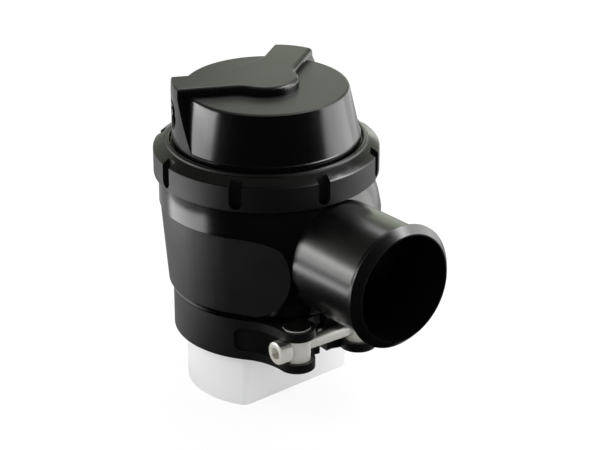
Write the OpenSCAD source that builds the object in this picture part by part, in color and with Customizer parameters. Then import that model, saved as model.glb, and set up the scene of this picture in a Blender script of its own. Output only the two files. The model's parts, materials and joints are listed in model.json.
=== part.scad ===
// Blow off valve: a spring-loaded piston in a billet housing with a side outlet,
// held on a weld flange by a hinged clamp and closed by a swivel cap under a lock ring.
// The valve axis is Z, the outlet points along +X, and the flange's lower face lies on Z = 0.

/* [Weld flange] */
// Step from the neck out to the round ends of the weld stub
stub_step = 1.2; // [0.5:0.1:3]
// Width of the stub across its two flats
flange_across_flats = 34; // [30:0.5:40]
// Corner radius where a flat meets a round end
flange_corner_r = 3.5; // [1:0.5:6]
// Height of the stub that shows below the clamp
stub_h = 20.5; // [12:0.5:30]
// Wall of the stub at its flats
stub_wall = 4.5; // [3:0.5:7]
// Wall of the necks round the inlet bore
inlet_wall = 4.3; // [3.5:0.1:6]

/* [Clamp] */
// Wall of the clamp band behind its groove
clamp_wall = 2.9; // [2.4:0.1:4]
// Height of the clamp band
clamp_h = 15.4; // [14.4:0.1:20]
// Angle that the clamp is turned to about the valve axis
clamp_turn = -4; // [-12:1:12]
// Depth of the V lips that the clamp draws together
v_depth = 2.4; // [2:0.1:2.8]
// Height of the straight rim of each V lip
lip_rim = 2.6; // [1.5:0.1:3]
// Gap between the clamp groove and the V lips
clamp_gap = 0.3; // [0.2:0.05:0.5]
// Distance of each cross barrel from the clamp's centre plane
lug_y = 13.5; // [12:0.5:16]
// Wall of a lug round its barrel
lug_wall = 1.6; // [1.2:0.1:3]
// Radius of the hollow curve where a lug leaves the band
lug_sweep_r = 22; // [10:1:30]
// Depth of the fork's pocket in the band
pocket_depth = 1.2; // [0.6:0.1:1.6]
// Angle at which the pocket ends on the band
pocket_angle = 56; // [52:1:70]
// Half of the gap between the ends of the clamp halves
clamp_split = 1.5; // [0.5:0.1:4]
// Radius of the cross barrels
barrel_r = 4.9; // [4.5:0.1:5.4]
// Height that the barrels stand proud of the ears
barrel_proud = 0.4; // [0.1:0.1:0.5]
// Thread radius of the clamp screw
screw_r = 2.5; // [2:0.1:3]
// Radius of the screw's head
screw_head_r = 4.25; // [4:0.05:4.6]
// Height of the screw's head
screw_head_h = 5; // [3:0.5:7]
// Width of the hexagon socket across its flats
hex_across_flats = 4; // [3:0.5:4.5]
// Distance of the hinge pin from the band's outer face
hinge_out = 2; // [1.5:0.1:4]
// Radius of the hinge knuckles
knuckle_r = 3.6; // [3:0.1:4]
// Radius of the hinge pin
hinge_pin_r = 1.6; // [1:0.1:2]

/* [Housing] */
// Step from the band in to the tapered side panel
panel_step = 0.4; // [0.2:0.1:1]
// Taper of the side panel from its top to its lower edge
panel_taper = 2.4; // [1:0.1:3.5]
// Height of the bevel below the panel
bevel_h = 2.6; // [1.5:0.1:4]
// Step from the lock ring in to the glossy band below it
band_step = 1.7; // [0.6:0.1:2.4]
// Height of that band
band_h = 10.7; // [10:0.1:14]
// Height of the threaded neck inside the lock ring
neck_h = 6.7; // [5:0.1:7]
// Angle from the outlet at which the sides run off straight towards it
boss_angle = 60; // [57:1:64]
// Rise of the ball-turned face round the outlet's root over the band
ball_rise = 1; // [0.5:0.1:2]
// Wall of the threaded neck round the valve chamber
neck_wall = 5.12; // [4.6:0.02:6]
// Height of the valve seat above the housing's underside
seat_rise = 1; // [0.6:0.1:2]

/* [Outlet] */
// Outer radius of the outlet tube
tube_r = 20.4; // [19:0.1:20.6]
// Wall of the outlet tube
tube_wall = 1.4; // [1.2:0.1:3]
// Distance of the outlet's mouth from the valve axis
mouth_x = 72.6; // [64:0.2:100]
// Height of the hose bead on the tube
bead_rise = 1.8; // [1:0.1:2.2]
// Widening of the bore where it leaves the valve chamber
entry_flare = 1.2; // [0.5:0.1:1.8]
// Length of the bevel from the bead to the mouth
bead_bevel = 2.7; // [2:0.1:4]

/* [Lock ring] */
// Outer radius of the lock ring
ring_r = 40; // [38:0.1:44]
// Wall of the lock ring round its thread
ring_wall = 4.3; // [3.8:0.1:5]
// Height of the ring's outer wall
ring_wall_h = 9.4; // [9:0.1:11]
// Rise of the ring's crown from the wall to its lip
ring_crown = 3; // [2.4:0.1:4]
// Width of the ledge under the lip that holds the cap down
lip_ledge = 1.9; // [1.5:0.1:2.4]
// Number of wrench slots
slot_count = 8; // [4:1:12]
// Width of a wrench slot
slot_w = 4.6; // [3:0.2:7]
// Depth of a wrench slot
slot_depth = 2.7; // [1.5:0.1:3]
// Angle of the first slot from the outlet
slot_turn = -10; // [-22:1:22]

/* [Cap] */
// Taper of the cap's cone from the lock ring to its upper edge
cap_taper = 3.9; // [2:0.1:5]
// Height of the cap's deck above the lock ring
cap_h = 19; // [18:0.2:26]
// Thickness of the cap's roof
roof_h = 3; // [2:0.1:4]
// Height of the raised bar above the deck
bar_rise = 3; // [2:0.1:6]
// Angle that the cap is turned to about the valve axis
cap_angle = 2; // [-180:1:180]
// Angle of each arm of the bar from the front of its hub
arm_angle = 121; // [112:0.5:125]
// Wall of an arm beside the chamfer of its port
arm_wall = 1.6; // [0.3:0.1:2.4]
// Slope of an arm's flanks from the upright
arm_draft = 26; // [10:1:30]
// Radius of the bar's hub
hub_r = 12.2; // [10:0.1:14]
// Distance of the bar's rear edge behind the axis
bar_rear = 16; // [14:0.2:18]
// Radius of the rounded upper edges of the bar
bar_edge_r = 1.9; // [0.4:0.1:2.4]
// Radius of the hollow corners between hub and arms
bar_corner_r = 9; // [3:0.5:10]
// Thread radius of the pressure ports
port_r = 4.9; // [4:0.1:5]
// Depth of the port axis below the deck
port_drop = 8.4; // [7.6:0.1:9]

/* [Piston and spring] */
// Wall of the cap's guide skirt
pilot_wall = 4.92; // [4.4:0.02:5.4]
// Step from the guide's bore in to the inlet bore at the valve seat
seat_step = 1.5; // [1:0.1:3]
// Width of the piston's land on the seat
seat_land = 3.5; // [3:0.1:4.5]
// Length of the piston inside its guide when closed
guide_engage = 12.5; // [12.5:0.1:14]
// Wall thickness of the piston cup
piston_wall = 3.4; // [3:0.1:4.5]
// Radius of the spring wire
wire_r = 1.6; // [1:0.1:2]
// Gap between the spring and the wall of the piston cup
spring_gap = 1.9; // [1:0.1:3]
// Number of turns of the spring
spring_turns = 7; // [5:1:9]

/* [Fits] */
// Running clearance of guides and hinge fits
run_gap = 0.08; // [0.04:0.01:0.1]
// Clearance round parts that pass without touching
free_gap = 0.3; // [0.2:0.05:0.5]
// Radius of the O-ring sections
o_ring_r = 0.95; // [0.7:0.05:1.1]

/* [Hidden] */
$fn = 96;
// Radii, from the lock ring in to the valve seat and out again to the clamp
ring_bore_r = ring_r - ring_wall;
thread_r = ring_bore_r - run_gap;
chamber_r = thread_r - neck_wall;
pilot_r = chamber_r - run_gap;
guide_r = pilot_r - pilot_wall;
seat_r = guide_r - seat_step;
neck_r = seat_r + inlet_wall;
flange_r = neck_r + stub_step;
lip_r = neck_r + v_depth;
groove_r = lip_r + clamp_gap;
clamp_r = groove_r + clamp_wall;
band_r = ring_r - band_step;
panel_top_r = band_r - panel_step;
panel_low_r = panel_top_r - panel_taper;
ball_r = band_r + ball_rise;
lip_gap = 0.5;
ring_lip_r = ring_bore_r - lip_ledge;
cap_base_r = ring_lip_r - lip_gap;
cap_deck_r = cap_base_r - cap_taper;
// Clamp
neck_show = 0.5;
clamp_z = stub_h + neck_show;
clamp_top = clamp_z + clamp_h;
joint_z = clamp_z + clamp_h / 2;
clamp_lip_h = clamp_h / 2 - lip_rim - v_depth;
web_r = (groove_r + clamp_r) / 2;
pocket_r = clamp_r - pocket_depth;
screw_x = clamp_r + screw_r + run_gap;
lug_r = barrel_r + lug_wall;
fork_h = 2 * screw_head_r + free_gap;
pocket_corner_r = fork_h / 3;
head_seat = 0.5;
barrel_flat = barrel_r - head_seat;
head_y = -(lug_y + barrel_flat);
socket_depth = screw_head_h / 2;
socket_r = hex_across_flats / sqrt(3);
head_end_y = head_y - screw_head_h;
tip_y = lug_y + barrel_r + 1;
hinge_x = clamp_r + hinge_out;
knuckle_h = clamp_h / 3;
// Centre of the hollow curve that is tangent to the band and to a lug's round end
lug_dist = norm([screw_x, lug_y]);
sweep_dist = clamp_r + lug_sweep_r;
sweep_reach = lug_r + lug_sweep_r;
sweep_sides = pow(sweep_dist, 2) + pow(lug_dist, 2) - pow(sweep_reach, 2);
sweep_cos = sweep_sides / (2 * sweep_dist * lug_dist);
sweep_angle = atan2(lug_y, screw_x) + acos(sweep_cos);
// Weld flange
flat_x = flange_across_flats / 2;
inlet_w = flange_across_flats - 2 * stub_wall;
inlet_flare_z = clamp_z + clamp_lip_h;
// Housing
floor_gap = 2 * free_gap;
floor_z = clamp_top + floor_gap;
panel_low_z = floor_z + bevel_h;
side_trim = 0.1;
panel_h = 2 * tube_r - band_h - side_trim;
band_z = panel_low_z + panel_h;
shoulder_z = band_z + band_h;
seat_z = floor_z + seat_rise;
rim_z = shoulder_z + neck_h;
band_taper = 0.5;
band_edge = 0.2;
boss_x0 = panel_low_r * cos(boss_angle);
ball_x = 4.5;
side_set_in = 0.05;
// Profile of the body's side, from the panel's lower edge to the shoulder
side_profile = [
  [panel_low_r, panel_low_z], [panel_top_r, band_z - band_edge], [band_r, band_z + band_edge],
  [band_r, band_z + band_h / 2], [band_r - band_taper, shoulder_z]
];
// Outlet
tube_drop = 0.1;
outlet_z = shoulder_z - tube_r - tube_drop;
outlet_bore_r = tube_r - tube_wall;
entry_x = chamber_r + neck_wall;
bead_r = tube_r + bead_rise;
bead_x = mouth_x - bead_bevel;
bead_crest = 0.3;
bead_back = bead_crest + 1.5 * bead_rise;
mouth_lip = 0.6;
// Lock ring
ring_low_z = shoulder_z + free_gap;
ring_wall_z = ring_low_z + ring_wall_h;
ring_top_z = ring_wall_z + ring_crown;
lip_h = 2;
lip_round = 0.95;
lip_inset = 0.05;
lip_under_z = ring_top_z - lip_h;
slip_h = 0.8;
slot_floor_r = ring_r - slot_depth;
slot_rise = 0.9;
slot_low_z = ring_low_z + slot_rise;
ring_edge = 0.5;
// Cap
cap_flange_z = lip_under_z - slip_h;
cap_flange_r = ring_bore_r - 2 * free_gap;
pilot_low_z = shoulder_z + free_gap / 2;
deck_z = ring_top_z + cap_h;
roof_z = deck_z - roof_h;
deck_edge = 1.2;
deck_round = 0.3 * deck_edge;
base_band_h = 1.4;
base_band_z = ring_top_z + base_band_h;
base_step = 0.3;
seam = 0.05;
arm_face_r = cap_base_r - seam;
arm_end_r = arm_face_r - seam;
arm_foot = 0.5;
arm_low_z = ring_top_z + arm_foot;
arm_top_z = deck_z - seam;
arm_flare = (arm_top_z - arm_low_z) * tan(arm_draft);
port_z = deck_z - port_drop;
port_chamfer = 0.9;
arm_w = 2 * (port_r + port_chamfer + arm_wall);
arm_half = arm_w / 2 - seam;
// Raised bar
bar_top_z = deck_z + bar_rise;
bar_low_z = deck_z - roof_h / 2;
bar_rear_r = 12;
hub_x = -0.8;
end_edge = 0.3;
// Piston
piston_r = guide_r - free_gap;
piston_top_z = pilot_low_z + guide_engage;
cup_r = piston_r - piston_wall;
spring_r = cup_r - spring_gap - wire_r;
seat_boss_r = spring_r - wire_r - free_gap;
seat_boss_h = 5;
cup_floor_h = 6;
cup_floor_z = seat_z + cup_floor_h;
cup_round = 1;
nose_r = seat_r + seat_land;
nose_h = 4;
nose_bevel = 2;
spigot_r = seat_r - 2 * free_gap;
spigot_h = 5;
spigot_low_z = seat_z - spigot_h;
spigot_edge = 1;
dish_w = 6;
dish_h = 2;
groove_depth = 2 * o_ring_r + run_gap / 2;
wear_in_r = piston_r - groove_depth + run_gap / 2;
wear_h = 2.4;
ring_pitch = 3.8;
wear_lower_z = pilot_low_z + wear_h / 2;
seal_z = wear_lower_z + ring_pitch;
wear_upper_z = seal_z + ring_pitch;
washer_h = 1.5;
washer_z = roof_z - washer_h;
washer_r = spring_r + wire_r;
// Seals
face_seal_r = (seat_r + nose_r) / 2;
flange_seal_r = (seat_r + lip_r) / 2;
pilot_seal_z = pilot_low_z + neck_h / 2;
seal_half = o_ring_r + run_gap;
groove_r0 = pilot_r - groove_depth;

// Round bar along +X from x0 to x1
module bar_x(r, x0, x1) {
  translate([x0, 0, 0]) rotate([0, 90, 0]) cylinder(r = r, h = x1 - x0);
}

// Round bar along +Y from y0 to y1
module bar_y(r, y0, y1) {
  translate([0, y0, 0]) rotate([-90, 0, 0]) cylinder(r = r, h = y1 - y0);
}

// Ring of rectangular section
module ring(r_in, r_out, z0, z1) {
  rotate_extrude() translate([r_in, z0]) square([r_out - r_in, z1 - z0]);
}

// O-ring of mean radius r at height z
module o_ring(r, z) {
  rotate_extrude() translate([r, z]) circle(r = o_ring_r, $fn = 32);
}

// Oval outline: a disc with two flats and rounded corners
module oval_outline(r, half_flat, corner_r) {
  cy = sqrt(pow(r - corner_r, 2) - pow(half_flat - corner_r, 2));
  cx = half_flat - corner_r;
  square([2 * half_flat, 2 * cy], center = true);
  for (sx = [-1, 1], sy = [-1, 1]) translate([sx * cx, sy * cy]) circle(r = corner_r);
  for (sy = [-1, 1]) intersection() {
    circle(r = r);
    polygon([[0, 0], [2 * cx, sy * 2 * cy], [-2 * cx, sy * 2 * cy]]);
  }
}

// V lip that ends at the joint face, with its neck on the side away from it
module v_lip_profile(neck_end) {
  polygon([
    [0, 0], [lip_r, 0], [lip_r, lip_rim], [neck_r, lip_rim + v_depth], [neck_r, neck_end], [0, neck_end]
  ]);
}

module weld_flange() color("gainsboro") difference() {
  union() {
    linear_extrude(stub_h) oval_outline(flange_r, flat_x, flange_corner_r);
    translate([0, 0, joint_z]) mirror([0, 0, 1]) rotate_extrude() v_lip_profile(clamp_h / 2 + floor_gap);
  }
  intersection() {
    translate([0, 0, -1]) cylinder(r = seat_r, h = joint_z + 2);
    rotate([90, 0, 0]) translate([0, 0, -flange_r]) linear_extrude(2 * flange_r) polygon([
      [-inlet_w / 2, -1], [inlet_w / 2, -1], [inlet_w / 2, inlet_flare_z], [seat_r, joint_z],
      [seat_r, joint_z + 1], [-seat_r, joint_z + 1], [-seat_r, joint_z], [-inlet_w / 2, inlet_flare_z]
    ]);
  }
  ring(flange_seal_r - seal_half, flange_seal_r + seal_half, joint_z - groove_depth, joint_z + 1);
}

module flange_o_ring() color("dimgray") o_ring(flange_seal_r, joint_z - o_ring_r - run_gap / 4);

// Section of the clamp band with its V groove, from the inside out
module clamp_profile() {
  rim = lip_rim + clamp_gap / 2;
  half_groove = rim + groove_r - (neck_r + clamp_gap);
  polygon([
    [neck_r + clamp_gap, clamp_z], [clamp_r, clamp_z], [clamp_r, clamp_top],
    [neck_r + clamp_gap, clamp_top], [neck_r + clamp_gap, joint_z + half_groove],
    [groove_r, joint_z + rim], [groove_r, joint_z - rim], [neck_r + clamp_gap, joint_z - half_groove]
  ]);
}

// Outline of a lug on the -Y side, with the hollow curve that leads it out of the band
module lug_outline() {
  sweep = sweep_dist * [cos(sweep_angle), -sin(sweep_angle)];
  translate([screw_x, -lug_y]) circle(r = lug_r);
  difference() {
    polygon([[0, 0], sweep, [screw_x, -lug_y], [clamp_r - 1, -clamp_split]]);
    translate(sweep) circle(r = lug_sweep_r);
  }
}

// Slot between the ears of a lug and its pocket in the band, on the -Y side
module fork_slot() {
  z0 = joint_z - fork_h / 2;
  end_angle = -pocket_angle + asin(pocket_corner_r / clamp_r);
  rotate([0, 0, end_angle]) rotate_extrude(angle = -end_angle + 5)
    translate([pocket_r, z0]) square([2 * clamp_r, fork_h]);
  rotate([0, 0, end_angle]) translate([pocket_r, 0, joint_z]) {
    for (s = [-1, 1]) translate([0, 0, s * (fork_h / 2 - pocket_corner_r)])
      bar_x(pocket_corner_r, 0, clamp_r);
    translate([0, -pocket_corner_r, pocket_corner_r - fork_h / 2])
      cube([clamp_r, pocket_corner_r, fork_h - 2 * pocket_corner_r]);
  }
}

// Hinge knuckles of one clamp half: the middle one, or the two outer ones
module knuckles(middle, r, gap) {
  outline_z = middle ? [knuckle_h] : [0, 2 * knuckle_h];
  for (z = outline_z) translate([-hinge_x, 0, clamp_z + z - gap])
    cylinder(r = r, h = knuckle_h + 2 * gap);
}

// Clamp half on the -Y side; the other half is its mirror image with the other knuckles
module clamp_half(middle) difference() {
  union() {
    difference() {
      union() {
        rotate_extrude() clamp_profile();
        difference() {
          translate([0, 0, clamp_z]) linear_extrude(clamp_h) lug_outline();
          translate([0, 0, clamp_z - 1]) cylinder(r = web_r, h = clamp_h + 2);
        }
      }
      translate([-2 * clamp_r, -run_gap, 0]) cube([2 * clamp_r, 3 * clamp_r, 2 * clamp_top]);
      translate([-1, -clamp_split, 0]) cube([3 * clamp_r, 3 * clamp_r, 2 * clamp_top]);
      knuckles(!middle, knuckle_r + free_gap, 0);
      fork_slot();
    }
    difference() {
      knuckles(middle, knuckle_r, -run_gap);
      translate([0, 0, clamp_z - 1]) cylinder(r = web_r, h = clamp_h + 2);
    }
  }
  translate([-hinge_x, 0, clamp_z - 1]) cylinder(r = hinge_pin_r + run_gap, h = clamp_h + 2);
  translate([screw_x, -lug_y, clamp_z - 1]) cylinder(r = barrel_r + run_gap, h = clamp_h + 2);
}

module clamp_half_front() color("#161616") rotate([0, 0, clamp_turn]) clamp_half(true);

module clamp_half_rear() color("#161616") rotate([0, 0, clamp_turn]) mirror([0, 1, 0]) clamp_half(false);

module clamp_hinge_pin() color("silver") rotate([0, 0, clamp_turn])
  translate([-hinge_x, 0, clamp_z]) cylinder(r = hinge_pin_r, h = clamp_h);

// Cross barrel with the screw's hole and a flat for its head
module barrel(hole_r) difference() {
  translate([screw_x, -lug_y, clamp_z]) cylinder(r = barrel_r, h = clamp_h + barrel_proud);
  translate([screw_x, 0, joint_z]) bar_y(hole_r, -lug_y - barrel_r - 1, -lug_y + barrel_r + 1);
  translate([screw_x - barrel_r, head_y - barrel_r, joint_z - fork_h / 2])
    cube([2 * barrel_r, barrel_r, fork_h]);
}

module screw_barrel() color("silver") rotate([0, 0, clamp_turn]) barrel(screw_r + run_gap);

module nut_barrel() color("silver") rotate([0, 0, clamp_turn]) mirror([0, 1, 0]) barrel(screw_r + run_gap);

module clamp_screw() color("silver") rotate([0, 0, clamp_turn]) translate([screw_x, 0, joint_z])
  difference() {
    union() {
      bar_y(screw_head_r, head_end_y, head_y);
      bar_y(screw_r, head_y - head_seat, tip_y);
    }
    bar_y(socket_r, head_end_y - 1, head_end_y + socket_depth, $fn = 6);
  }

// Half space behind the body's straight run on one side of the outlet
module boss_side(side) rotate([0, 0, side * boss_angle]) rotate([90, 0, 0])
  translate([-side_set_in, 0, -2 * band_r]) linear_extrude(4 * band_r) polygon(concat(
    [[-2 * band_r, panel_low_z]], side_profile, [[-2 * band_r, shoulder_z]]
  ));

// Boss of the outlet: straight sides that end in a ball-turned face about the outlet axis
module outlet_boss() intersection() {
  boss_side(1);
  boss_side(-1);
  translate([boss_x0, -2 * band_r, 0]) cube([2 * band_r, 4 * band_r, 2 * band_z]);
  translate([ball_x, 0, outlet_z]) sphere(r = ball_r);
}

// Outlet tube with the hose bead and a thin lip at the mouth
module outlet_tube() translate([0, 0, outlet_z]) rotate([0, 90, 0]) rotate_extrude() polygon([
  [0, seat_r], [tube_r, seat_r], [tube_r, bead_x - bead_back], [bead_r, bead_x - bead_crest],
  [bead_r, bead_x], [outlet_bore_r + mouth_lip, mouth_x], [0, mouth_x]
]);

module housing() color("#101010") difference() {
  union() {
    translate([0, 0, joint_z]) rotate_extrude() v_lip_profile(seat_z - joint_z - seat_rise / 2);
    rotate_extrude() polygon(concat(
      [[0, floor_z], [panel_low_r - bevel_h / 2, floor_z]], side_profile,
      [[thread_r, shoulder_z], [thread_r, rim_z], [0, rim_z]]
    ));
    outlet_boss();
    outlet_tube();
  }
  translate([0, 0, seat_z]) cylinder(r = chamber_r, h = rim_z - seat_z + 1);
  translate([0, 0, joint_z - 1]) cylinder(r = seat_r, h = seat_z - joint_z + 2);
  translate([0, 0, outlet_z]) bar_x(outlet_bore_r, 0, mouth_x + 1);
  translate([seat_r, 0, outlet_z]) rotate([0, 90, 0])
    cylinder(r1 = outlet_bore_r + entry_flare, r2 = outlet_bore_r, h = entry_x - seat_r);
}

// One wrench slot: straight sides, round lower end, open at the top
module wrench_slot() translate([slot_floor_r, 0, slot_low_z + slot_w / 2]) {
  bar_x(slot_w / 2, 0, ring_r);
  translate([0, -slot_w / 2, 0]) cube([ring_r, slot_w, ring_top_z]);
}

module lock_ring() color("#141414") difference() {
  rotate_extrude() {
    polygon([
      [ring_bore_r, ring_low_z], [ring_r - ring_edge / 2, ring_low_z], [ring_r, ring_low_z + ring_edge / 2],
      [ring_r, ring_wall_z - ring_edge], [ring_r - ring_edge, ring_wall_z],
      [ring_lip_r + 2.5 * lip_round, ring_top_z - lip_round], [ring_lip_r, ring_top_z - lip_round],
      [ring_lip_r, lip_under_z], [ring_bore_r, lip_under_z]
    ]);
    translate([ring_lip_r + lip_round + lip_inset, ring_top_z - lip_round]) circle(r = lip_round);
  }
  for (i = [0 : slot_count - 1]) rotate([0, 0, slot_turn + i * 360 / slot_count]) wrench_slot();
}

// Outline of the raised bar on the +Y side, from the front of the hub to the middle of the rear edge.
// Each entry is a point and the outward direction along which its upper edge is rounded.
function arc(c, r, a0, a1, n, s) = [for (i = [0 : n])
  let (a = a0 + (a1 - a0) * i / n, d = [cos(a), sin(a)]) [c + r * d, s * d]];

function bar_half() =
  let (
    dir = [cos(arm_angle), sin(arm_angle)],
    across = [sin(arm_angle), -cos(arm_angle)],
    hub_c = [hub_x, 0],
    edge_d = arm_w / 2 + bar_corner_r,
    along = hub_c * dir + sqrt(pow(hub_r + bar_corner_r, 2) - pow(edge_d - hub_c * across, 2)),
    corner_c = along * dir + edge_d * across,
    touch_a = atan2(corner_c[1], corner_c[0] - hub_x),
    rear_edge_d = arm_w / 2 + bar_rear_r,
    rear_x = -bar_rear - bar_rear_r,
    rear_y = (rear_x * across[0] + rear_edge_d) / -across[1],
    rear_c = [rear_x, rear_y]
  )
  concat(
    arc(hub_c, hub_r, 0, touch_a, 12, 1),
    arc(corner_c, bar_corner_r, touch_a + 180, arm_angle + 90, 8, -1),
    [for (i = [0 : 8]) let (f = 1 - i / 4, w = f * arm_w / 2)
      [w * across + sqrt(pow(arm_end_r, 2) - pow(w, 2)) * dir, f * across + end_edge * dir]],
    arc(rear_c, bar_rear_r, arm_angle - 90, 0, 6, -1)
  );

// Raised bar with a hub and two arms, its upper edges rounded ring by ring;
// its flat faces are fans about the hub's centre, from where the whole outline is in sight
module raised_bar() {
  rim_steps = 5;
  half = bar_half();
  clean = [for (i = [0 : len(half) - 1]) if (i == 0 || norm(half[i][0] - half[i - 1][0]) > 0.01) half[i]];
  count = len(clean);
  outline = concat(clean, [for (i = [count - 1 : -1 : 1])
    [[clean[i][0][0], -clean[i][0][1]], [clean[i][1][0], -clean[i][1][1]]]]);
  n = len(outline);
  rings = concat([[0, bar_low_z]], [for (j = [0 : rim_steps]) let (a = 90 * j / rim_steps)
    [bar_edge_r * (1 - cos(a)), bar_top_z - bar_edge_r + bar_edge_r * sin(a)]]);
  m = len(rings);
  points = concat(
    [for (q = rings, p = outline) [p[0][0] - q[0] * p[1][0], p[0][1] - q[0] * p[1][1], q[1]]],
    [[hub_x, 0, bar_low_z], [hub_x, 0, bar_top_z]]
  );
  walls = [for (j = [0 : m - 2], i = [0 : n - 1]) let (k = (i + 1) % n)
    each [[j * n + i, (j + 1) * n + k, j * n + k], [j * n + i, (j + 1) * n + i, (j + 1) * n + k]]];
  low = [for (i = [0 : n - 1]) [m * n, i, (i + 1) % n]];
  top = [for (i = [0 : n - 1]) [m * n + 1, (m - 1) * n + (i + 1) % n, (m - 1) * n + i]];
  polyhedron(points, concat(walls, low, top));
}

// Root of an arm, from the wall of the cap to its end face, with flanks that spread towards the base
module arm_root(side) intersection() {
  rotate([0, 0, side * arm_angle]) translate([guide_r + 1, 0, 0]) rotate([90, 0, 90])
    linear_extrude(arm_end_r) polygon([
      [-arm_half, arm_top_z], [-arm_half - arm_flare, arm_low_z],
      [arm_half + arm_flare, arm_low_z], [arm_half, arm_top_z]
    ]);
  cylinder(r = arm_face_r, h = 2 * bar_top_z);
}

// Threaded pressure port in the end of an arm
module port(side) rotate([0, 0, side * arm_angle]) translate([0, 0, port_z]) {
  bar_x(port_r, guide_r - 2, cap_base_r + 1);
  translate([arm_face_r - port_chamfer, 0, 0]) rotate([0, 90, 0])
    cylinder(r1 = port_r, r2 = port_r + 2 * port_chamfer, h = 2 * port_chamfer);
}

module cap() color("#121212") rotate([0, 0, cap_angle]) difference() {
  union() {
    rotate_extrude() polygon([
      [guide_r, pilot_low_z], [pilot_r, pilot_low_z], [pilot_r, pilot_seal_z - seal_half],
      [groove_r0, pilot_seal_z - seal_half], [groove_r0, pilot_seal_z + seal_half],
      [pilot_r, pilot_seal_z + seal_half], [pilot_r, rim_z], [cap_flange_r, rim_z],
      [cap_flange_r, cap_flange_z], [cap_base_r, cap_flange_z], [cap_base_r, base_band_z],
      [cap_base_r - base_step, base_band_z + base_step], [cap_deck_r, deck_z - deck_edge],
      [cap_deck_r - deck_round, deck_z - deck_round], [cap_deck_r - deck_edge, deck_z], [0, deck_z],
      [0, roof_z - seat_boss_h], [seat_boss_r, roof_z - seat_boss_h], [seat_boss_r, roof_z],
      [guide_r, roof_z]
    ]);
    raised_bar();
    arm_root(1);
    arm_root(-1);
  }
  port(1);
  port(-1);
}

module cap_o_ring() color("dimgray") o_ring(pilot_r - o_ring_r, pilot_seal_z);

module slip_ring() color("ivory") ring(cap_base_r + free_gap, cap_flange_r, cap_flange_z, lip_under_z);

module piston() color("lightgray") difference() {
  rotate_extrude() polygon([
    [0, spigot_low_z + dish_h], [spigot_r - dish_w, spigot_low_z], [spigot_r - spigot_edge, spigot_low_z],
    [spigot_r, spigot_low_z + spigot_edge], [spigot_r, seat_z], [nose_r, seat_z], [nose_r, seat_z + nose_h],
    [piston_r, seat_z + nose_h + nose_bevel], [piston_r, piston_top_z], [cup_r, piston_top_z],
    [cup_r, cup_floor_z + cup_round], [cup_r - cup_round, cup_floor_z], [0, cup_floor_z]
  ]);
  ring(face_seal_r - seal_half, face_seal_r + seal_half, seat_z - 1, seat_z + groove_depth);
  for (z = [wear_lower_z, seal_z, wear_upper_z])
    ring(piston_r - groove_depth, piston_r + 1, z - run_gap, z + wear_h + run_gap);
}

module seat_seal() color("dimgray") o_ring(face_seal_r, seat_z + o_ring_r + run_gap / 4);

module piston_seal() color("dimgray") o_ring(guide_r - run_gap / 2 - o_ring_r, seal_z + wear_h / 2);

module upper_wear_ring() color("tan")
  ring(wear_in_r, guide_r - run_gap, wear_upper_z, wear_upper_z + wear_h);

module lower_wear_ring() color("tan")
  ring(wear_in_r, guide_r - run_gap, wear_lower_z, wear_lower_z + wear_h);

// Coil with closed ends: the pitch grows and fades over the first and last turn
function ease(t) = t * t * (3 - 2 * t);
function coil_z(t, z0, z1) =
  let (lead = 1 / spring_turns, rest = (1 - 2 * lead), u = (t - lead) / rest)
  z0 + (z1 - z0) * ease(max(0, min(1, u)));

module coil(z0, z1) {
  sides = 8;
  steps = spring_turns * 24;
  points = [for (i = [0 : steps], j = [0 : sides - 1])
    let (t = i / steps, a = t * spring_turns * 360, b = j * 360 / sides, r = spring_r + wire_r * cos(b))
    [r * cos(a), r * sin(a), coil_z(t, z0, z1) + 2 * wire_r * spring_turns * t + wire_r * sin(b)]];
  walls = [for (i = [0 : steps - 1], j = [0 : sides - 1])
    let (k = (j + 1) % sides)
    [i * sides + j, i * sides + k, (i + 1) * sides + k, (i + 1) * sides + j]];
  first = [for (j = [sides - 1 : -1 : 0]) j];
  last = [for (j = [0 : sides - 1]) steps * sides + j];
  polyhedron(points, concat(walls, [first, last]));
}

module spring() color("slategray")
  coil(cup_floor_z + wire_r, washer_z - wire_r - 2 * wire_r * spring_turns);

module spring_washer() color("silver") ring(seat_boss_r + run_gap, washer_r, washer_z, roof_z);

weld_flange();
flange_o_ring();
clamp_half_front();
clamp_half_rear();
clamp_hinge_pin();
screw_barrel();
nut_barrel();
clamp_screw();
housing();
lock_ring();
cap();
cap_o_ring();
slip_ring();
piston();
seat_seal();
piston_seal();
upper_wear_ring();
lower_wear_ring();
spring();
spring_washer();
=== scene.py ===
# %% [markdown]
# # A blow off valve, dressed for the camera
# The CAD model already has every piece in its place. This lesson keeps those pieces fixed
# and gives them what a lathe, a mill and an anodising bath leave behind: softened edges,
# turned grain, a blasted panel, bare machined aluminium and bright steel.
# Then it adds the few pieces that are finer than the CAD: the clamp screw with its thread,
# a smooth coil spring and the pipe threads in the two ports.

# %% Load the frame
import json
import math

import bpy
import numpy as np
from mathutils import Matrix, Vector


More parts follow.
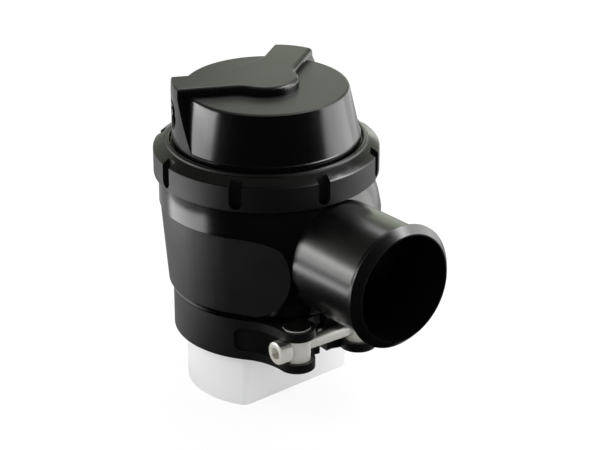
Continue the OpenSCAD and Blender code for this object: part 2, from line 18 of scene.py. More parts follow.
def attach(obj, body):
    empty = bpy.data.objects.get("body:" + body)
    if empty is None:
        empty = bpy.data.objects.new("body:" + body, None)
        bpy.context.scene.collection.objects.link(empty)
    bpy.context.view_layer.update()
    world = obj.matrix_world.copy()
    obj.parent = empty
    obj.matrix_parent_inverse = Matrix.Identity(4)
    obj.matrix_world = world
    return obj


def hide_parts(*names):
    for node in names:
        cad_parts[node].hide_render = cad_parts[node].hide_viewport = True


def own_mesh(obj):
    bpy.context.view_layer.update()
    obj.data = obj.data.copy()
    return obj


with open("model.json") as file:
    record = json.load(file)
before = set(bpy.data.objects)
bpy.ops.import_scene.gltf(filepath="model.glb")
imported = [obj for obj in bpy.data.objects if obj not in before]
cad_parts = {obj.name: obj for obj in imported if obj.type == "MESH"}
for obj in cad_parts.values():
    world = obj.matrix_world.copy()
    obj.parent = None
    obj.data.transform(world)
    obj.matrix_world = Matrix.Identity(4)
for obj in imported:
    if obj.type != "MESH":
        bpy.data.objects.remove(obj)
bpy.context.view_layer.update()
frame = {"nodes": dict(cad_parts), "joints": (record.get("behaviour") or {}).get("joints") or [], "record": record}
mounts = {mount["name"]: mount for mount in frame["record"]["mounts"]}
joints = {joint["name"]: joint for joint in frame["joints"]}
MM = 0.001

# %% [markdown]
# ## Camera
# The object was photographed from above and to one side with a long lens, so upright lines
# hardly lean. The camera is placed by azimuth, elevation and distance about a point on the
# valve axis, and its three axes are written straight into a matrix.

# %% Place the camera
CAMERA_AZIMUTH = math.radians(49.62)
CAMERA_ELEVATION = math.radians(24.82)
CAMERA_DISTANCE = 789.5 * MM
CAMERA_SHIFT = 11.87 * MM
AIM_HEIGHT = 57.99 * MM
LENS, SENSOR_WIDTH = 132, 36

right = Vector((math.cos(CAMERA_AZIMUTH), math.sin(CAMERA_AZIMUTH), 0))
towards = Vector((right.y, -right.x, 0))
back = towards * math.cos(CAMERA_ELEVATION) + Vector((0, 0, math.sin(CAMERA_ELEVATION)))
up = back.cross(right)
place = Vector((0, 0, AIM_HEIGHT)) + right * CAMERA_SHIFT + back * CAMERA_DISTANCE

camera_data = bpy.data.cameras.new("camera")
camera_data.lens = LENS
camera_data.sensor_width = SENSOR_WIDTH
camera = bpy.data.objects.new("camera", camera_data)
camera.matrix_world = Matrix.Translation(place) @ Matrix((right, up, back)).transposed().to_4x4()
bpy.context.collection.objects.link(camera)
bpy.context.scene.camera = camera
print("camera at", [round(v, 3) for v in place])

# %% [markdown]
# ## Two small helpers
# Colours are written the way a paint program shows them, as sRGB hex, and turned into the
# linear values that light calculations need. One function adds a shader node, sets its
# options and fills its sockets, with a number or with a link.

# %% Colour and node helpers
def linear(code):
    channels = [int(code[i:i + 2], 16) / 255 for i in (1, 3, 5)]
    return [c / 12.92 if c <= 0.04045 else ((c + 0.055) / 1.055) ** 2.4 for c in channels] + [1]


def add(tree, kind, sockets=None, **options):
    node = tree.nodes.new(kind)
    for name, value in options.items():
        setattr(node, name, value)
    for name, value in (sockets or {}).items():
        if isinstance(value, bpy.types.NodeSocket):
            tree.links.new(value, node.inputs[name])
        else:
            node.inputs[name].default_value = value
    return node


# %% [markdown]
# ## Studio
# Black gloss shows nothing but its surroundings, so the room is the most important material
# here. Seen from above, an upright wall mirrors what stands low beside it, so the soft box on
# the left stands close to the table. Bright cards below and above it show in mirrors only:
# they draw the stripes on the band and on the outlet tube without lighting anything. The
# right side has two soft boxes, the rear one weaker, and a high card that puts a spot on the
# cap's hub. A dim card behind the valve gives the cap's level faces a gradient, and one more
# soft box hangs overhead. The space in front stays dark, as behind a photographer, and keeps
# the middle of the body black. The floor is plain and pale, with a soft shadow.

# %% Soft boxes
def studio_point(ahead, aside, height):
    """Point in metres: towards the camera, to its right, and up."""
    return towards * ahead + right * aside + Vector((0, 0, height))


def soft_box(name, spot, aim, size, radiance, mirror_only=False, colour="#ffffff"):
    """Rectangle lamp at a studio point, aimed at another one; size is width and height.
    A mirror-only lamp shows in reflections and lights no matte surface."""
    lamp = bpy.data.lights.new(name, "AREA")
    lamp.shape = "RECTANGLE"
    lamp.size, lamp.size_y = size
    lamp.energy = radiance * math.pi * size[0] * size[1]
    lamp.color = linear(colour)[:3]
    box = bpy.data.objects.new(name, lamp)
    box.location = studio_point(*spot)
    line = studio_point(*aim) - box.location
    box.rotation_euler = line.to_track_quat("-Z", "Y").to_euler()
    box.visible_diffuse = not mirror_only
    bpy.context.collection.objects.link(box)


soft_box("reflector_card_left", (0.015, -0.15, 0.016), (0.015, 0, 0.016), (0.15, 0.03), 3.4,
         mirror_only=True)
soft_box("soft_box_left", (0.010, -0.15, 0.078), (0.010, 0, 0.078), (0.14, 0.036), 2.6)
soft_box("reflector_strip_left", (0.010, -0.15, 0.112), (0.010, 0, 0.112), (0.14, 0.032), 5.0,
         mirror_only=True)
soft_box("soft_box_right", (-0.030, 0.294, 0.184), (0.086, 0.039, 0.184), (0.262, 0.36), 2.6)
soft_box("soft_box_right_rear", (-0.265, 0.187, 0.065), (-0.149, -0.068, 0.065), (0.253, 0.12), 1.0)
soft_box("reflector_card_right", (-0.025, 0.36, 0.46), (0.01, 0.01, 0.113), (0.20, 0.16), 7.0,
         mirror_only=True)
soft_box("reflector_card_back", (-0.35, 0.06, 0.157), (0, 0.06, 0.157), (0.18, 0.224), 0.70,
         mirror_only=True, colour="#f3fde4")
soft_box("soft_box_top", (-0.54, 0.10, 0.75), (0, 0, 0.06), (0.55, 0.34), 2.4)
print(len(bpy.data.lights), "lamps and cards")

# %% Floor and surroundings
FLOOR_SIZE = 8
# Share of the floor that glows by itself for the camera, so that its shadow stays faint.
FLOOR_GLOW = 0.84
# What mirrors see: light of floor and walls at the sides, and of the space in front.
FLOOR_LIGHT, WALL_LIGHT, FRONT_DARK = 0.55, 0.42, 0.003
# Cosine of the angle to the camera's side at which the room starts and ends to darken.
SIDE_ENDS, FRONT_STARTS = -0.15, 0.42
# Sine of the elevation at which the walls start to fade and have faded, and what is left.
FADE_STARTS, FADE_ENDS, CEILING_SHARE = 0.42, 0.64, 0.2
# Light from all round that matte surfaces get.
AMBIENT = 1.2


def facing(tree, vector, side_light):
    """Brightness of the room in a direction: dark towards the camera, light at the sides."""
    flat = add(tree, "ShaderNodeVectorMath", {0: vector, 1: (1, 1, 0)}, operation="MULTIPLY")
    unit = add(tree, "ShaderNodeVectorMath", {0: flat.outputs[0]}, operation="NORMALIZE")
    ahead = add(tree, "ShaderNodeVectorMath", {0: unit.outputs[0], 1: towards}, operation="DOT_PRODUCT")
    return add(tree, "ShaderNodeMapRange", {"Value": ahead.outputs["Value"], "From Min": SIDE_ENDS,
               "From Max": FRONT_STARTS, "To Min": side_light, "To Max": FRONT_DARK},
               interpolation_type="SMOOTHSTEP")


bpy.ops.mesh.primitive_plane_add(size=FLOOR_SIZE)
floor = bpy.context.object
floor.name = "floor"
paper = bpy.data.materials.new("floor_white_paper")
paper.use_nodes = True
tree = paper.node_tree
tree.nodes.clear()
path = add(tree, "ShaderNodeLightPath")
spot = add(tree, "ShaderNodeNewGeometry")
matte = add(tree, "ShaderNodeBsdfDiffuse", {"Color": linear("#f4f4f4")})
glow = add(tree, "ShaderNodeEmission", {"Strength": 1.0})
seen = add(tree, "ShaderNodeMixShader", {0: FLOOR_GLOW, 1: matte.outputs[0], 2: glow.outputs[0]})
below = facing(tree, spot.outputs["Position"], FLOOR_LIGHT)
mirror_light = add(tree, "ShaderNodeEmission", {"Strength": below.outputs[0]})
by_gloss = add(tree, "ShaderNodeMixShader", {0: path.outputs["Is Glossy Ray"], 1: matte.outputs[0],
               2: mirror_light.outputs[0]})
by_eye = add(tree, "ShaderNodeMixShader", {0: path.outputs["Is Camera Ray"], 1: by_gloss.outputs[0],
             2: seen.outputs[0]})
add(tree, "ShaderNodeOutputMaterial", {"Surface": by_eye.outputs[0]})
floor.data.materials.append(paper)

world = bpy.data.worlds.new("studio")
bpy.context.scene.world = world
world.use_nodes = True
tree = world.node_tree
tree.nodes.clear()
path = add(tree, "ShaderNodeLightPath")
way = add(tree, "ShaderNodeTexCoord")
room = facing(tree, way.outputs["Generated"], WALL_LIGHT)
high = add(tree, "ShaderNodeSeparateXYZ", {0: way.outputs["Generated"]})
fade = add(tree, "ShaderNodeMapRange", {"Value": high.outputs["Z"], "From Min": FADE_STARTS,
           "From Max": FADE_ENDS, "To Min": 1.0, "To Max": CEILING_SHARE}, interpolation_type="SMOOTHSTEP")
wall = add(tree, "ShaderNodeMath", {0: room.outputs[0], 1: fade.outputs[0]}, operation="MULTIPLY")
ambient = add(tree, "ShaderNodeMix", {0: path.outputs["Is Glossy Ray"], 2: AMBIENT, 3: wall.outputs[0]})
level = add(tree, "ShaderNodeMix", {0: path.outputs["Is Camera Ray"], 2: ambient.outputs[0], 3: 1.0})
# Wall and card are a warm, faintly green white, which the level faces of the cap pick up.
tint = add(tree, "ShaderNodeMix", {0: path.outputs["Is Glossy Ray"], 6: (1, 1, 1, 1), 7: linear("#f5fde8")},
           data_type="RGBA")
sky = add(tree, "ShaderNodeBackground", {"Color": tint.outputs[2], "Strength": level.outputs[0]})
add(tree, "ShaderNodeOutputWorld", {"Surface": sky.outputs[0]})
bpy.context.scene.view_settings.view_transform = "Standard"
print("studio ready")

# %% [markdown]
# ## Where the cutter went round
# Turned parts carry fine rings, so their grain has to follow the lathe's axis. This helper
# gives a position as distance from an axis, angle about it and height along it, in
# millimetres. Noise that is stretched along the angle then looks like turning marks on flat
# faces and on round walls alike.

# %% Lathe coordinates
AXES = {"Z": ("X", "Y", "Z"), "X": ("Y", "Z", "X")}
VALVE = ("Z", (0, 0, 0))
OUTLET_HEIGHT = mounts["outlet_bore"]["pos_m"][2]
OUTLET = ("X", (0, 0, OUTLET_HEIGHT))


def lathe(tree, about):
    """Distance from the axis, angle about it and height along it, in mm."""
    axis, centre = about
    here = add(tree, "ShaderNodeTexCoord").outputs["Object"]
    offset = add(tree, "ShaderNodeVectorMath", {0: here, 1: centre}, operation="SUBTRACT")
    mm = add(tree, "ShaderNodeVectorMath", {0: offset.outputs[0], "Scale": 1 / MM}, operation="SCALE")
    parts = add(tree, "ShaderNodeSeparateXYZ", {0: mm.outputs[0]})
    a, b, h = (parts.outputs[name] for name in AXES[axis])
    aa = add(tree, "ShaderNodeMath", {0: a, 1: a}, operation="MULTIPLY")
    rr = add(tree, "ShaderNodeMath", {0: b, 1: b, 2: aa.outputs[0]}, operation="MULTIPLY_ADD")
    r = add(tree, "ShaderNodeMath", {0: rr.outputs[0], 1: 0.5}, operation="POWER")
    turn = add(tree, "ShaderNodeMath", {0: b, 1: a}, operation="ARCTAN2")
    return add(tree, "ShaderNodeCombineXYZ", {0: r.outputs[0], 1: turn.outputs[0], 2: h}).outputs[0]


def round_tangent(tree, about):
    """Direction in which the cutter ran, for a stretched highlight."""
    axis, centre = about
    here = add(tree, "ShaderNodeTexCoord").outputs["Object"]
    offset = add(tree, "ShaderNodeVectorMath", {0: here, 1: centre}, operation="SUBTRACT")
    spindle = (0, 0, 1) if axis == "Z" else (1, 0, 0)
    along = add(tree, "ShaderNodeVectorMath", {0: spindle, 1: offset.outputs[0]}, operation="CROSS_PRODUCT")
    turned = add(tree, "ShaderNodeVectorTransform", {0: along.outputs[0]}, vector_type="VECTOR",
                 convert_from="OBJECT", convert_to="WORLD")
    return turned.outputs[0]


# %% [markdown]
# ## Finishes
# One recipe serves every surface: a base colour, a roughness that wanders a little, a fine
# relief and, on turned faces, a highlight that stretches across the cutter's path. A facing
# cut leaves level faces duller than the walls, so they can have a roughness of their own.
# Black anodising is a clear oxide layer dyed black, so it is not treated as bare metal: it
# is a dark dielectric with the oxide's index of refraction, a little higher where the coat
# is dense. Steel and bare aluminium are metals, but fine milling and grinding scatter part
# of the light in all directions, so their walls get a Metallic value below one.

# %% One recipe for all finishes
OXIDE_IOR = 1.66
DENSE_OXIDE_IOR = 1.76
# Upward part of the normal at which a wall ends and a level face begins.
WALL_ENDS, LEVEL_STARTS = 0.6, 0.8
# Scale of the slow clouds, and the range that the sum of grain and clouds mostly keeps to.
CLOUDS_PER_MM = 0.11
NOISE_LOW, NOISE_HIGH = 0.6, 1.4


def level_ramp(tree, on_walls, on_level):
    """A value that changes from walls to faces that look up."""
    way = add(tree, "ShaderNodeNewGeometry").outputs["Normal"]
    lean = add(tree, "ShaderNodeSeparateXYZ", {0: way})
    return add(tree, "ShaderNodeMapRange", {"Value": lean.outputs["Z"], "From Min": WALL_ENDS,
               "From Max": LEVEL_STARTS, "To Min": on_walls, "To Max": on_level}).outputs[0]


def finish(name, colour, rough, wander, relief, grain, about=None, metal=0.0, ior=1.5, stretch=0.0,
           level_rough=0.0, level_metal_painted_shade=0.0):
    """Grain is noise scale per mm across, around and along; relief is its depth in mm."""
    material = bpy.data.materials.new(name)
    material.use_nodes = True
    tree = material.node_tree
    shader = tree.nodes["Principled BSDF"]
    shader.inputs["Base Color"].default_value = linear(colour)
    shader.inputs["Metallic"].default_value = metal
    shader.inputs["IOR"].default_value = ior
    if about:
        place = lathe(tree, about)
    else:
        here = add(tree, "ShaderNodeTexCoord").outputs["Object"]
        place = add(tree, "ShaderNodeVectorMath", {0: here, "Scale": 1 / MM}, operation="SCALE").outputs[0]
    scaled = add(tree, "ShaderNodeVectorMath", {0: place, 1: grain}, operation="MULTIPLY")
    marks = add(tree, "ShaderNodeTexNoise", {"Vector": scaled.outputs[0], "Scale": 1.0, "Detail": 3.0})
    cloud = add(tree, "ShaderNodeTexNoise", {"Vector": place, "Scale": CLOUDS_PER_MM, "Detail": 2.0})
    both = add(tree, "ShaderNodeMath", {0: marks.outputs[0], 1: cloud.outputs[0]}, operation="ADD")
    tone = add(tree, "ShaderNodeMapRange", {"Value": both.outputs[0], "From Min": NOISE_LOW,
               "From Max": NOISE_HIGH, "To Min": rough - wander, "To Max": rough + wander})
    bump = add(tree, "ShaderNodeBump", {"Height": marks.outputs[0], "Strength": 1.0,
               "Distance": relief * MM})
    dull = tone.outputs[0]
    if level_rough:
        extra = level_ramp(tree, 0.0, level_rough - rough)
        dull = add(tree, "ShaderNodeMath", {0: dull, 1: extra}, operation="ADD").outputs[0]
    # Faces that look up in the world get this Metallic value: painted shade, since full metal there mirrors the
    # dark body above while the walls stay half diffuse and bright.
    if level_metal_painted_shade:
        tree.links.new(level_ramp(tree, metal, level_metal_painted_shade), shader.inputs["Metallic"])
    tree.links.new(dull, shader.inputs["Roughness"])
    tree.links.new(bump.outputs[0], shader.inputs["Normal"])
    if stretch:
        shader.inputs["Anisotropic"].default_value = stretch
        tree.links.new(round_tangent(tree, about), shader.inputs["Tangent"])
    return material


# Black anodised over a fine finishing cut: deep gloss on walls, charcoal sheen on level faces.
GLOSS = finish("black_anodised_fine_turned", "#020202", 0.21, 0.03, 0.002, (2.2, 0.5, 2.2), VALVE,
               ior=OXIDE_IOR, stretch=0.3, level_rough=0.34)
# The same coat over a coarser cut: soft grey sheen that fades slowly round the walls.
SATIN = finish("black_anodised_satin_turned", "#050505", 0.45, 0.05, 0.004, (2.6, 0.4, 2.6), VALVE,
               ior=OXIDE_IOR, stretch=0.3)
# Lock ring: satin wall for grip, but a crown that was polished and mirrors the cap.
CROWN = finish("black_anodised_polished_crown", "#040404", 0.47, 0.04, 0.003, (2.6, 0.4, 2.6), VALVE,
               ior=OXIDE_IOR, stretch=0.3, level_rough=0.20)
# Outlet tube, turned about its own axis: soft streaks along the tube.
TUBE = finish("black_anodised_tube_turned", "#040404", 0.24, 0.02, 0.0006, (2.4, 0.4, 2.4), OUTLET,
              ior=DENSE_OXIDE_IOR, stretch=0.35)
# Side panel, blasted before the dye bath: even, nearly matte charcoal with faint clouds.
BLASTED = finish("black_anodised_blasted", "#070707", 0.49, 0.07, 0.006, (3.0, 3.0, 3.0), ior=OXIDE_IOR)
# Weld stub left bare so that it can be welded: pale metal whose fine milling scatters light.
BARE = finish("bare_aluminium_milled", "#eaeaeb", 0.52, 0.05, 0.003, (1.6, 1.6, 0.12), metal=0.25)
# Piston, turned and left bare inside the valve: silvery, with fine rings.
TURNED = finish("bare_aluminium_turned", "#dcdcde", 0.32, 0.05, 0.003, (2.4, 0.4, 2.4), VALVE, metal=1.0)
# Stainless pins and barrels, ground all round: bright walls with a soft scatter from the fine
# grind. Faces that look up in the world are made full metal and mirror the black body above
# them: painted shade set by the way a face points, not by which face it is.
STEEL = finish("stainless_steel_ground", "#dddbd3", 0.22, 0.03, 0.0006, (2.0, 2.0, 0.4), metal=0.5,
               level_metal_painted_shade=1.0)
# Spring wire: shot peening leaves tiny dents and a dull grey.
PEENED = finish("spring_steel_peened", "#75777b", 0.42, 0.06, 0.008, (3.0, 3.0, 3.0), metal=1.0)
# Moulded rubber seals: soft black with a dry bloom.
RUBBER = finish("seal_rubber_moulded", "#161616", 0.55, 0.08, 0.006, (2.0, 2.0, 2.0))
# Slip ring of bearing plastic: dull ivory white.
SLIP = finish("white_bearing_plastic", "#e6e2d4", 0.45, 0.06, 0.004, (1.5, 1.5, 1.5))
# Wear rings of filled bearing plastic, brown and faintly mottled.
WEAR = finish("brown_filled_plastic", "#8a6a44", 0.5, 0.08, 0.006, (1.8, 1.8, 1.8))
print(len(bpy.data.materials), "finishes")

# %% [markdown]
# ## Three finishes on one housing
# The housing is a single billet, yet it shows three surfaces: a glossy turned band, a
# blasted panel and a turned outlet tube. Masks in the piece's own coordinates pick the
# finish. The panel was masked with tape: it lies between two heights, beside the outlet it
# ends on the ball that the outlet's root was cut to, and its corners are round. For that, the
# distances to the edges are measured: where they come close together, a circle rules.

# %% Housing material
PANEL_LOW, PANEL_TOP = 39.6 * MM, 69.6 * MM
PANEL_IN = 34.0 * MM
PANEL_CORNER = 3.4 * MM
BALL_CENTRE = (4.5 * MM, 0, OUTLET_HEIGHT)
BALL_R = 39.27 * MM
BALL_FROM = 17.7 * MM
TUBE_FROM = 40.0 * MM


def calculate(tree, value, other, operation):
    """Adds one Math node and returns its result."""
    return add(tree, "ShaderNodeMath", {0: value, 1: other}, operation=operation).outputs[0]


def copy_into(tree, material):
    """Copies a finish's nodes into another tree and returns the shader's output."""
    made = {}
    for old in material.node_tree.nodes:
        if old.type == "OUTPUT_MATERIAL":
            continue
        new = tree.nodes.new(old.bl_idname)
        for prop in old.bl_rna.properties:
            if not prop.is_readonly and prop.identifier in (
                    "operation", "interpolation_type", "vector_type", "convert_from", "convert_to"):
                setattr(new, prop.identifier, getattr(old, prop.identifier))
        for before, after in zip(old.inputs, new.inputs):
            if hasattr(before, "default_value"):
                after.default_value = before.default_value
        made[old.name] = new
    for link in material.node_tree.links:
        if link.to_node.name in made:
            sockets = list(link.from_node.outputs)
            entries = list(link.to_node.inputs)
            tree.links.new(made[link.from_node.name].outputs[sockets.index(link.from_socket)],
                           made[link.to_node.name].inputs[entries.index(link.to_socket)])
    return made["Principled BSDF"].outputs[0]


billet = bpy.data.materials.new("black_anodised_billet")
billet.use_nodes = True
tree = billet.node_tree
tree.nodes.clear()
here = add(tree, "ShaderNodeTexCoord").outputs["Object"]
parts = add(tree, "ShaderNodeSeparateXYZ", {0: here})
level_ground = add(tree, "ShaderNodeVectorMath", {0: here, 1: (1, 1, 0)}, operation="MULTIPLY")
radius = add(tree, "ShaderNodeVectorMath", {0: level_ground.outputs[0]}, operation="LENGTH")
from_ball = add(tree, "ShaderNodeVectorMath", {0: here, 1: BALL_CENTRE}, operation="DISTANCE")
beside_outlet = calculate(tree, parts.outputs["X"], BALL_FROM, "GREATER_THAN")
over_ball = calculate(tree, from_ball.outputs["Value"], BALL_R - PANEL_CORNER, "SUBTRACT")
over_ball = calculate(tree, over_ball, beside_outlet, "MULTIPLY")
over_top = calculate(tree, parts.outputs["Z"], PANEL_TOP - PANEL_CORNER, "SUBTRACT")
depth = add(tree, "ShaderNodeCombineXYZ", {0: calculate(tree, over_ball, 0.0, "MAXIMUM"),
            1: calculate(tree, over_top, 0.0, "MAXIMUM")})
corner = add(tree, "ShaderNodeVectorMath", {0: depth.outputs[0]}, operation="LENGTH")
tests = [calculate(tree, corner.outputs["Value"], PANEL_CORNER, "LESS_THAN"),
         calculate(tree, parts.outputs["Z"], PANEL_LOW, "GREATER_THAN"),
         calculate(tree, radius.outputs["Value"], PANEL_IN, "GREATER_THAN")]
panel = tests[0]
for test in tests[1:]:
    panel = calculate(tree, panel, test, "MULTIPLY")
tube = calculate(tree, parts.outputs["X"], TUBE_FROM, "GREATER_THAN")
first = add(tree, "ShaderNodeMixShader", {0: panel, 1: copy_into(tree, GLOSS), 2: copy_into(tree, BLASTED)})
second = add(tree, "ShaderNodeMixShader", {0: tube, 1: first.outputs[0], 2: copy_into(tree, TUBE)})
add(tree, "ShaderNodeOutputMaterial", {"Surface": second.outputs[0]})
print("housing finish has", len(tree.nodes), "nodes")

# %% [markdown]
# ## Dressing the CAD pieces
# No machined edge is perfectly sharp: a file, a tumbler or the cutter itself breaks it, and
# that narrow round is what catches the light. Modifiers do it without touching the CAD
# mesh: weld the split corners, merge flat triangles, then bevel every real edge.

# %% Assign finishes and soften edges
# Finish of each CAD piece and width of its edge rounds in mm.
DRESS = {
    "weld_flange": (BARE, 0.35), "flange_o_ring": (RUBBER, 0), "clamp_half_front": (SATIN, 0.35),
    "clamp_half_rear": (SATIN, 0.35), "clamp_hinge_pin": (STEEL, 0.2), "screw_barrel": (STEEL, 0.25),
    "nut_barrel": (STEEL, 0.25), "housing": (billet, 0.25), "lock_ring": (CROWN, 0.45),
    "cap": (GLOSS, 0.8), "cap_o_ring": (RUBBER, 0), "slip_ring": (SLIP, 0.1), "piston": (TURNED, 0.2),
    "seat_seal": (RUBBER, 0), "piston_seal": (RUBBER, 0), "upper_wear_ring": (WEAR, 0.15),
    "lower_wear_ring": (WEAR, 0.15), "spring_washer": (STEEL, 0.15),
}
EDGE_ANGLE = math.radians(24)
FLAT_ANGLE = math.radians(0.4)
WELD_GAP = 0.002 * MM


def soften(piece, width):
    """Breaks every real edge of a piece with a round of this width in mm."""
    piece.modifiers.new("weld", "WELD").merge_threshold = WELD_GAP
    flat = piece.modifiers.new("flat", "DECIMATE")
    flat.decimate_type = "DISSOLVE"
    flat.angle_limit = FLAT_ANGLE
    edge = piece.modifiers.new("edge", "BEVEL")
    edge.width = width * MM
    edge.segments = 2
    edge.limit_method = "ANGLE"
    edge.angle_limit = EDGE_ANGLE
    edge.harden_normals = True
    smooth = piece.modifiers.new("normals", "WEIGHTED_NORMAL")
    smooth.keep_sharp = True


for name, (material, width) in DRESS.items():
    piece = frame["nodes"][name]
    piece.data.materials.clear()
    piece.data.materials.append(material)
    if width:
        soften(piece, width)
print("dressed", len(DRESS), "pieces")

# %% [markdown]
# ## New pieces
# The clamp screw, the spring and the port threads are finer than the CAD shows, so they are
# built here as meshes of rings. Each ring is a loop of points, and neighbouring rings are
# joined by quads. A piece rides on the body that carries it; the screw and the spring stand in for their CAD
# nodes.

# %% Mesh helper
SHARP_ANGLE = math.radians(32)


def skin(name, rings, material):
    """Mesh from equal loops of points: quads between loops, a face on each end."""
    rings = np.asarray(rings, float)
    loops, count = rings.shape[:2]
    k = np.arange(count)
    step = np.roll(k, -1)
    quads = [np.stack([i * count + k, i * count + step, (i + 1) * count + step, (i + 1) * count + k], 1)
             for i in range(loops - 1)]
    faces = np.concatenate(quads).tolist()
    faces += [k[::-1].tolist(), (k + (loops - 1) * count).tolist()]
    mesh = bpy.data.meshes.new(name)
    mesh.from_pydata((rings.reshape(-1, 3) * MM).tolist(), [], faces)
    mesh.materials.append(material)
    for polygon in mesh.polygons:
        polygon.use_smooth = True
    mesh.set_sharp_from_angle(angle=SHARP_ANGLE)
    piece = bpy.data.objects.new(name, mesh)
    bpy.context.collection.objects.link(piece)
    return piece


# %% [markdown]
# The screw is a socket head cap screw: a forged head with a knurled rim and a hexagon
# socket, and a rolled thread. Its rings run along the screw's axis. The hexagon comes from
# a radius that depends on the angle, and the thread from one that depends on both.

# %% Clamp screw
SCREW_AXIS = Vector(joints["screw_turn"]["axis"])
SCREW_CENTRE = Vector(joints["screw_turn"]["pos_m"]) / MM
HEAD_R, HEAD_UNDER, HEAD_END = 4.25, -17.9, -22.9
SHANK_R, THREAD_ROOT, TIP = 2.5, 2.16, 19.4
THREAD_PITCH, THREAD_FROM = 0.8, 7.6
HEX_FLATS, SOCKET_DEPTH, HEX_CHAMFER = 4.0, 2.5, 0.25
# Parts of the hexagon's size: an inner ring on the socket's floor and the chamfered mouth.
FLOOR_RING, MOUTH_FLARE = 0.45, 1.1
KNURL_TEETH, KNURL_DEPTH, KNURL_SHORT = 24, 0.018, 0.5
# Rounds of the head's rim and of its lower edge: how far along and how far inward a point lies.
HEAD_ROUND = 0.75
RIM_ROUND = [(0, HEAD_ROUND), (0.12, 0.38), (0.45, 0.08)]
LOWER_ROUND = [(-0.12, 0.08), (0, 0.25)]
FILLET_OUT, FILLET_LONG = 0.1, 0.2
# Running clearance of the shank, then lengths before the thread, after it and of the tip's chamfer.
PLAY, RUN_IN, RUN_OUT, TIP_CHAMFER = 0.05, 0.3, 0.6, 0.5
# The groove's flank steepness, the flat on the crest and the rings per turn.
FLANK, CREST_FLAT, RINGS_PER_TURN = 2.6, 0.25, 8
AROUND = 96

angles = np.linspace(0, 2 * math.pi, AROUND, endpoint=False)
hexagon = HEX_FLATS / 2 / np.cos((angles + math.pi / 6) % (math.pi / 3) - math.pi / 6)
knurl = 1 - KNURL_DEPTH * (0.5 + 0.5 * np.cos(angles * KNURL_TEETH))
even = np.ones(AROUND)

shank = SHANK_R - PLAY
outline = [(HEAD_END + SOCKET_DEPTH, hexagon * FLOOR_RING), (HEAD_END + SOCKET_DEPTH, hexagon),
           (HEAD_END + HEX_CHAMFER, hexagon), (HEAD_END, hexagon * MOUTH_FLARE)]
outline += [(HEAD_END + along, even * (HEAD_R - inward)) for along, inward in RIM_ROUND]
outline += [(HEAD_END + HEAD_ROUND, HEAD_R * knurl), (HEAD_UNDER - KNURL_SHORT, HEAD_R * knurl)]
outline += [(HEAD_UNDER + along, even * (HEAD_R - inward)) for along, inward in LOWER_ROUND]
outline += [(HEAD_UNDER, even * (SHANK_R + FILLET_OUT)), (HEAD_UNDER + FILLET_LONG, even * shank),
            (THREAD_FROM - RUN_IN, even * shank)]
for y in np.arange(THREAD_FROM, TIP - RUN_OUT, THREAD_PITCH / RINGS_PER_TURN):
    phase = (y / THREAD_PITCH - angles / (2 * math.pi)) % 1
    groove = np.clip(np.abs(phase - 0.5) * FLANK - CREST_FLAT, 0, 1)
    outline.append((y, shank - (shank - THREAD_ROOT) * groove))
outline += [(TIP - TIP_CHAMFER, even * THREAD_ROOT), (TIP, even * (THREAD_ROOT - TIP_CHAMFER))]

side = SCREW_AXIS.cross(Vector((0, 0, 1)))
spokes = [side * math.cos(a) + Vector((0, 0, math.sin(a))) for a in angles]
rings = [[SCREW_CENTRE + SCREW_AXIS * y + spoke * r[i] for i, spoke in enumerate(spokes)]
         for y, r in outline]
# Screw steel: bright and a little duller than the barrels, with the slight grain of cold forging;
# its faces that look up in the world turn full metal and darker, a painted shade.
FORGED = finish("stainless_steel_forged", "#e0ded6", 0.34, 0.04, 0.0008, (2.0, 2.0, 2.0), metal=0.5,
                level_metal_painted_shade=1.0)
screw = skin("clamp_screw_threaded", rings, FORGED)
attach(screw, "screw")
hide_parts("clamp_screw")
print("screw has", len(screw.data.polygons), "faces")

# %% [markdown]
# The spring is wound from round wire and its ends are closed: the pitch fades out over the
# first and the last turn so that the coil stands flat. In the valve it is squeezed between the piston's
# floor and the washer under the cap's roof when the piston lifts; here it is one rigid coil that rides on the top
# body.

# %% Return spring
COIL_R, WIRE_R, TURNS = 18.3, 1.55, 7
COIL_LOW, COIL_TOP = 45.6, 105.9
CLOSED_PITCH = 3.2
WIRE_SIDES, STEPS_PER_TURN = 14, 48

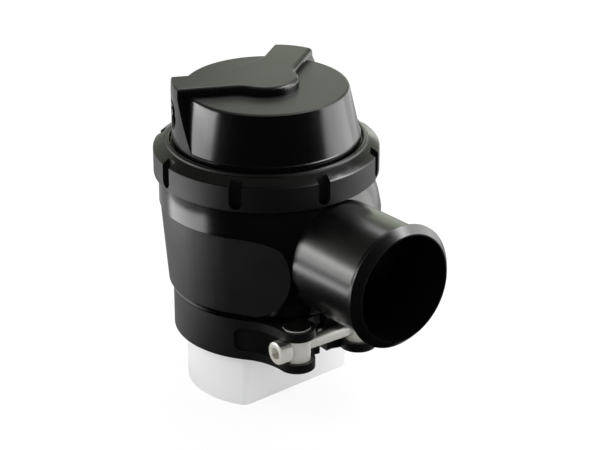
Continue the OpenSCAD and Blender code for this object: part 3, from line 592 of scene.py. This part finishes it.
steps = TURNS * STEPS_PER_TURN
open_rise = COIL_TOP - COIL_LOW - CLOSED_PITCH * TURNS
rings = []
for i in range(steps + 1):
    t = i / steps
    u = min(1, max(0, (t * TURNS - 1) / (TURNS - 2)))
    ease = u * u * (3 - 2 * u)
    z = COIL_LOW + open_rise * ease + CLOSED_PITCH * TURNS * t
    a = 2 * math.pi * TURNS * t
    b = np.linspace(0, 2 * math.pi, WIRE_SIDES, endpoint=False)
    r = COIL_R + WIRE_R * np.cos(b)
    rings.append(np.stack([r * math.cos(a), r * math.sin(a), z + WIRE_R * np.sin(b)], 1))
spring = skin("return_spring_coil", rings, PEENED)
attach(spring, "top")
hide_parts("spring")
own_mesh(spring)
print("spring has", len(spring.data.polygons), "faces")

# %% [markdown]
# Each arm of the cap ends in a pipe-thread port for a hose fitting. A tap cuts the thread
# after the hole is drilled, so a narrow V-shaped ridge winds round inside the hole.

# %% Port threads
# Depth of the ridge and its pitch, then half its width at the foot and at the crest.
RIDGE, PIPE_PITCH = 0.42, 0.94
RIDGE_FOOT, RIDGE_CREST = 0.42 * PIPE_PITCH, 0.06
# Where the thread begins and ends, measured from the valve axis, and the angle between rings.
PORT_FROM, PORT_TO = 26.0, 32.0
PORT_STEP = math.pi / 24
section = [(0.0, RIDGE_FOOT), (-RIDGE, RIDGE_CREST), (-RIDGE, -RIDGE_CREST), (0.0, -RIDGE_FOOT)]

for label in ("front", "rear"):
    port = mounts["port_" + label]
    port_r = port["dims"]["r_mm"]
    port_height = port["pos_m"][2] / MM
    out = Vector(port["axis"])
    across = Vector((-out.y, out.x, 0))
    rings = []
    for a in np.arange(0, 2 * math.pi * (PORT_TO - PORT_FROM) / PIPE_PITCH, PORT_STEP):
        x = PORT_FROM + PIPE_PITCH * a / (2 * math.pi)
        spoke = across * math.cos(a) + Vector((0, 0, math.sin(a)))
        middle = Vector((0, 0, port_height)) + out * x
        rings.append([middle + spoke * (port_r + dr) + out * dx for dr, dx in section])
    thread = skin("port_thread_" + label, rings, GLOSS)
    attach(thread, "top")
print("threads cut in both ports")
